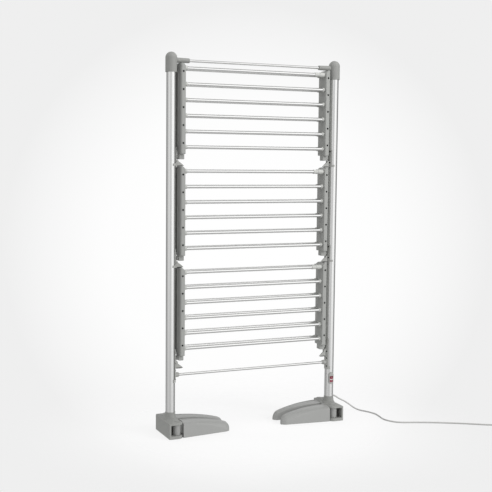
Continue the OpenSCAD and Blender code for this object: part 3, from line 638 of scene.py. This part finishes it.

# Rocker with a hollowed face, pale marks on its two halves and, between them, a pale bar that is a
# painted highlight across the rocker's middle
rocker = {
    "x": 335.0, "hub": (-16.0, 158.0), "tilt": 7.0, "width": 14.0, "height": 23.4,
    "face": 6.5, "back": 1.6, "edge": 0.7, "edgeAngle": 40,
    "hollow": 1.6, "hollowRadius": 38.6, "hollowSides": 128,
    "hubRadius": 2.5, "hubInset": 1.0, "hubSides": 24,
    "markHeight": 7.6, "barSize": (0.9, 0.3, 3.0), "barEdge": 0.08, "ringRadius": 1.5,
    "ringThickness": 0.35, "ringSides": (28, 8), "ringShape": (0.8, 1.15, 0.45),
    "lensSize": (11.6, 1.2, 2.6), "lensEdge": 0.3,
}


def addRocker(settings):
    width, face, radius = settings["width"], settings["face"], settings["hollowRadius"]
    deepest = -face + settings["hollow"]
    body = addBlock((width, face - settings["back"], settings["height"]),
                    (0, -(face + settings["back"]) / 2, 0))
    cutter = addCylinder(radius, -width, width, settings["hollowSides"])
    cutter.data.transform(turned(90, "Y"))
    cutter.data.transform(Matrix.Translation((0, (deepest - radius) * mm, 0)))
    combine(body, cutter, "DIFFERENCE")
    softEdges(body, settings["edge"], settings["edgeAngle"])
    hubEnd = width / 2 - settings["hubInset"]
    hub = addCylinder(settings["hubRadius"], -hubEnd, hubEnd, settings["hubSides"])
    hub.data.transform(turned(90, "Y"))
    body = joinAll([body, hub], "switchRocker")
    high = settings["markHeight"]
    slope = math.asin(high / radius)
    surface = deepest - radius * (1 - math.cos(slope))
    bar = addBlock(settings["barSize"], (0, surface, high), (-slope, 0, 0))
    softEdges(bar, settings["barEdge"])
    around, across = settings["ringSides"]
    bpy.ops.mesh.primitive_torus_add(major_radius=settings["ringRadius"] * mm,
                                     minor_radius=settings["ringThickness"] * mm,
                                     major_segments=around, minor_segments=across,
                                     location=(0, surface * mm, -high * mm),
                                     rotation=(math.radians(90) + slope, 0, 0))
    ring = bpy.context.object
    ring.scale = settings["ringShape"]
    settle()
    bpy.ops.object.shade_smooth()
    # pale bar along the hollow's deepest line: painted highlight
    lens = addBlock(settings["lensSize"], (0, deepest, 0))
    softEdges(lens, settings["lensEdge"])
    marksAndHighlight = joinAll([bar, ring, lens], "rockerMarks")
    place = moved(settings["x"], *settings["hub"]) @ turned(settings["tilt"], "X")
    for piece in (body, marksAndHighlight):
        piece.data.transform(place)
    dress(body, "rocker", "rocker_plastic", "switch_rocker")
    dress(marksAndHighlight, "rocker", "rocker_plastic", material=paint["mark"])


addRocker(rocker)

# Darker rim between the switch plate and the post: painted shade for the gap around the plate
shadeRim = {"x": 335.0, "z": 162.0, "grow": 1.0, "width": 19.5, "height": 46.0, "front": -18.6,
          "depth": 6.0, "rim": 1.5, "edge": 0.2, "sides": 40,
          "postRadius": 17.2, "postReach": 60.0, "postSides": 64}


def addShadeRim(settings):
    width, height, depth = settings["width"], settings["height"], settings["depth"]
    wide, straight = width / 2 + settings["grow"], height - width
    parts = []
    for end in (-1, 1):
        parts.append(addCylinder(wide, 0, depth, settings["sides"]))
        parts[-1].data.transform(Matrix.Translation((0, end * straight / 2 * mm, 0)))
    parts.append(addBlock((2 * wide, straight, depth), (0, 0, depth / 2)))
    body = parts[0]
    for other in parts[1:]:
        combine(body, other, "UNION")
    rims = 2 * settings["rim"]
    inner = addCylinder(width / 2 - settings["rim"], -1, depth + 1, settings["sides"])
    inner.data.transform(Matrix.Scale((height - rims) / (width - rims), 4, (0, 1, 0)))
    combine(body, inner, "DIFFERENCE")
    body.data.transform(turned(90, "X"))
    body.data.transform(moved(settings["x"], settings["front"] + depth, settings["z"]))
    reach = settings["postReach"]
    post = addCylinder(settings["postRadius"], -reach, reach, settings["postSides"])
    post.data.transform(moved(settings["x"], 0, settings["z"]))
    combine(body, post, "DIFFERENCE")
    softEdges(body, settings["edge"])
    body.name = "switchGasket"
    # the grey rim paints the shade of the gap around the switch plate
    dress(body, "stand", "cap_plastic")


addShadeRim(shadeRim)
print("switch made")

# Strain relief: a flange, then a tapering sleeve cut into round ribs. A rib's points are shares
# of its length, each with how far it lies below the sleeve's surface.
gland = {"x": 335.0, "z": 75.0, "turn": 45.0, "root": 17.8,
         "flange": [(0, 6.0), (0.01, 6.5), (2.4, 6.5), (3.0, 5.9)],
         "from": 3.01, "to": 26.0, "wide": 5.2, "narrow": 3.65, "thinnest": 3.4, "mouth": 3.45,
         "ribs": 6, "rib": [(0.0, 0.75), (0.12, 0.15), (0.25, 0.0), (0.6, 0.0), (0.73, 0.15),
                            (0.85, 0.75)], "smoothAngle": 40}


def glandProfile(settings):
    start, end = settings["from"], settings["to"]
    wide, narrow = settings["wide"], settings["narrow"]
    step = (end - start) / settings["ribs"]
    profile = list(settings["flange"])
    for k in range(settings["ribs"]):
        for share, drop in settings["rib"]:
            height = start + (k + share) * step
            along = (height - start) / (end - start)
            surface = wide + (narrow - wide) * along
            profile.append((height, max(settings["thinnest"], surface - drop)))
    return profile + [(end, settings["mouth"])]


def addGland(settings):
    piece = turnedPiece("cordGland", glandProfile(settings))
    shadeSmooth(settings["smoothAngle"])
    way = math.radians(settings["turn"])
    place = moved(settings["x"] + settings["root"] * math.cos(way),
                  settings["root"] * math.sin(way), settings["z"])
    piece.data.transform(place @ turned(settings["turn"], "Z") @ turned(90, "Y"))
    return dress(piece, "stand", "cord_plastic", "cord_gland")


cordGland = addGland(gland)

# Plug: round-ended pins with sleeved roots, and ridges where fingers grip the body
plug = {"pin": [(46.0, 2.0), (65.2, 2.0), (66.1, 1.72), (66.73, 1.0), (67.0, 0.3)],
        "sleeve": [(47.0, 2.02), (58.0, 2.02), (58.1, 1.9)], "sides": 24, "pinSpread": 9.3,
        "ridges": 4, "ridgeFrom": 31.5, "ridgeStep": 3.6, "ridgeSize": (1.5, 0.9, 9.0),
        "ridgeEdge": 0.4, "ridgeSpread": 12.8}


def addPlugDetail(settings):
    pins, sleeves, ridges = [], [], []
    for side in (-1, 1):
        across = moved(0, side * settings["pinSpread"], 0)
        for name, group in (("pin", pins), ("sleeve", sleeves)):
            part = turnedPiece(name, settings[name], settings["sides"])
            part.data.transform(across @ turned(90, "Y"))
            shadeSmooth()
            group.append(part)
        for k in range(settings["ridges"]):
            along = settings["ridgeFrom"] + k * settings["ridgeStep"]
            place = (along, side * settings["ridgeSpread"], 0)
            ridges.append(addBlock(settings["ridgeSize"], place))
            softEdges(ridges[-1], settings["ridgeEdge"])
    made = [joinAll(pins, "plugPins"), joinAll(sleeves, "plugPinSleeves"),
            joinAll(ridges, "plugGrips")]
    place = moved(plugPlace.x, plugPlace.y, coilSettings["plugHeight"])
    for piece in made:
        piece.data.transform(place @ Matrix.Rotation(plugWay, 4, "Z"))
    dress(made[0], "stand", "plug_metal", "plug_pins")
    dress(made[1], "stand", "black_plastic")
    dress(made[2], "stand", "cord_plastic")
    return made


plugDetail = addPlugDetail(plug)
print("cord fittings made")


# Floor, studio lights and surroundings
studio = {
    "floorRadius": 1.1,
    "floorSides": 96,
    "floorHeight": -0.0005,
    "floorTone": 0.90,
    "floorRoughness": 0.8,
    "floorGlow": 1.0,
    "glowShare": 0.78,
    "fadeRange": (0.10, 1.00),
    "forward": (0.4080, 0.9130, 0.0),
    "right": (0.9130, -0.4080, 0.0),
    "view": (0.4080 * 0.99613, 0.9130 * 0.99613, -0.08793),
    "roundTones": [(0.0, 0.06), (0.08, 0.08), (0.139, 0.20), (0.25, 0.27), (0.333, 0.52),
                   (0.403, 0.62), (0.48, 0.45), (0.54, 0.47), (0.60, 0.84), (0.667, 0.92),
                   (0.73, 0.55), (0.79, 0.22), (0.861, 0.10), (1.0, 0.06)],
    "overheadTone": 0.20,
    "overheadRange": (0.55, 0.95),
    "underTone": 0.31,
    "underRange": (0.05, 0.42),
    "upperBackTone": 0.62,
    "upperRange": (0.12, 0.3),
    "backRange": (0.1, 0.6),
    "lightStrength": 1.3,
    "backdropTones": [(0.0, 0.863), (0.35, 0.925), (0.7, 0.985), (1.0, 1.0)],
    "backdropRange": (0.9700, 0.9985),
}
lights = [
    {"name": "keyBox", "place": (2.3, -2.9, 2.0), "aim": (0.1, 0, 0.75),
     "size": (1.2, 2.2), "power": 84},
    {"name": "fillBox", "place": (-3.2, 1.4, 1.4), "aim": (0, 0, 0.7),
     "size": (0.8, 2.2), "power": 30},
    {"name": "topBox", "place": (-0.2, -0.9, 3.3), "aim": (0, 0, 0.6),
     "size": (2.4, 1.6), "power": 26},
]


def addFloor(settings):
    # a round pale floor that melts into the backdrop at its rim
    bpy.ops.mesh.primitive_circle_add(vertices=settings["floorSides"],
                                      radius=settings["floorRadius"], fill_type="NGON",
                                      location=(0, 0, settings["floorHeight"]))
    floor = bpy.context.object
    floor.name = "paleFloor"
    settle()
    finish = newMaterial("paleFloor")
    finish.shader(Base_Color=grey(settings["floorTone"]), Roughness=settings["floorRoughness"])
    far = finish.node("ShaderNodeVectorMath", {"operation": "LENGTH"},
                      {0: finish.node("ShaderNodeTexCoord", out="Object")}, out="Value")
    fade = finish.graded(far, settings["fadeRange"], "SMOOTHERSTEP")
    clear = finish.node("ShaderNodeBsdfTransparent")
    pale = Wire(finish, finish.find("ShaderNodeBsdfPrincipled").outputs[0])
    glow = finish.node("ShaderNodeEmission", None, {"Color": grey(settings["floorGlow"])})
    lit = finish.node("ShaderNodeMixShader", None, {0: settings["glowShare"], 1: pale, 2: glow})
    blend = finish.node("ShaderNodeMixShader", None, {0: fade, 1: lit, 2: clear})
    finish.fill(finish.find("ShaderNodeOutputMaterial"), "Surface", blend)
    floor.data.materials.append(finish.owner)
    floor.visible_glossy = False


def addLight(settings):
    data = bpy.data.lights.new(settings["name"], "AREA")
    data.shape = "RECTANGLE"
    data.size, data.size_y = settings["size"]
    data.energy = settings["power"]
    light = bpy.data.objects.new(settings["name"], data)
    bpy.context.scene.collection.objects.link(light)
    light.location = settings["place"]
    aim = Vector(settings["aim"]) - Vector(settings["place"])
    light.rotation_mode = "QUATERNION"
    light.rotation_quaternion = aim.to_track_quat("-Z", "Y")
    light.visible_camera = False
    light.visible_glossy = False


def addSurroundings(settings):
    # darker to the left of the airer and brighter to the right, as the photograph's metal shows
    world = bpy.data.worlds.new("studio")
    bpy.context.scene.world = world
    finish = Finish(world)
    way = finish.node("ShaderNodeTexCoord", out="Generated")

    def along(axis):
        return finish.node("ShaderNodeVectorMath", {"operation": "DOT_PRODUCT"},
                           {0: way, 1: axis}, out="Value")

    up = along((0, 0, 1))
    around = finish.node("ShaderNodeMath", {"operation": "ARCTAN2"},
                         {0: along(settings["right"]), 1: 0 - along(settings["forward"])})
    lit = finish.ramp(around * (0.5 / math.pi) + 0.5, settings["roundTones"])
    lit = finish.mix(finish.graded(up, settings["overheadRange"]), lit,
                     grey(settings["overheadTone"]))
    upper = finish.graded(up, settings["upperRange"])
    behind = finish.graded(along(settings["forward"]), settings["backRange"])
    lit = finish.mix(upper * behind, lit, grey(settings["upperBackTone"]))
    lit = finish.mix(finish.graded(0 - up, settings["underRange"]), lit,
                     grey(settings["underTone"]))
    middle = finish.graded(along(settings["view"]), settings["backdropRange"], "LINEAR")
    backdrop = finish.ramp(middle, settings["backdropTones"])
    seen = finish.node("ShaderNodeLightPath", out="Is Camera Ray")
    strength = settings["lightStrength"]
    background = finish.find("ShaderNodeBackground")
    finish.fill(background, "Color", finish.mix(seen, lit, backdrop))
    finish.fill(background, "Strength", strength + seen * (1 - strength))


addFloor(studio)
for light in lights:
    addLight(light)
addSurroundings(studio)
bpy.context.scene.view_settings.view_transform = "Standard"
print("studio set")
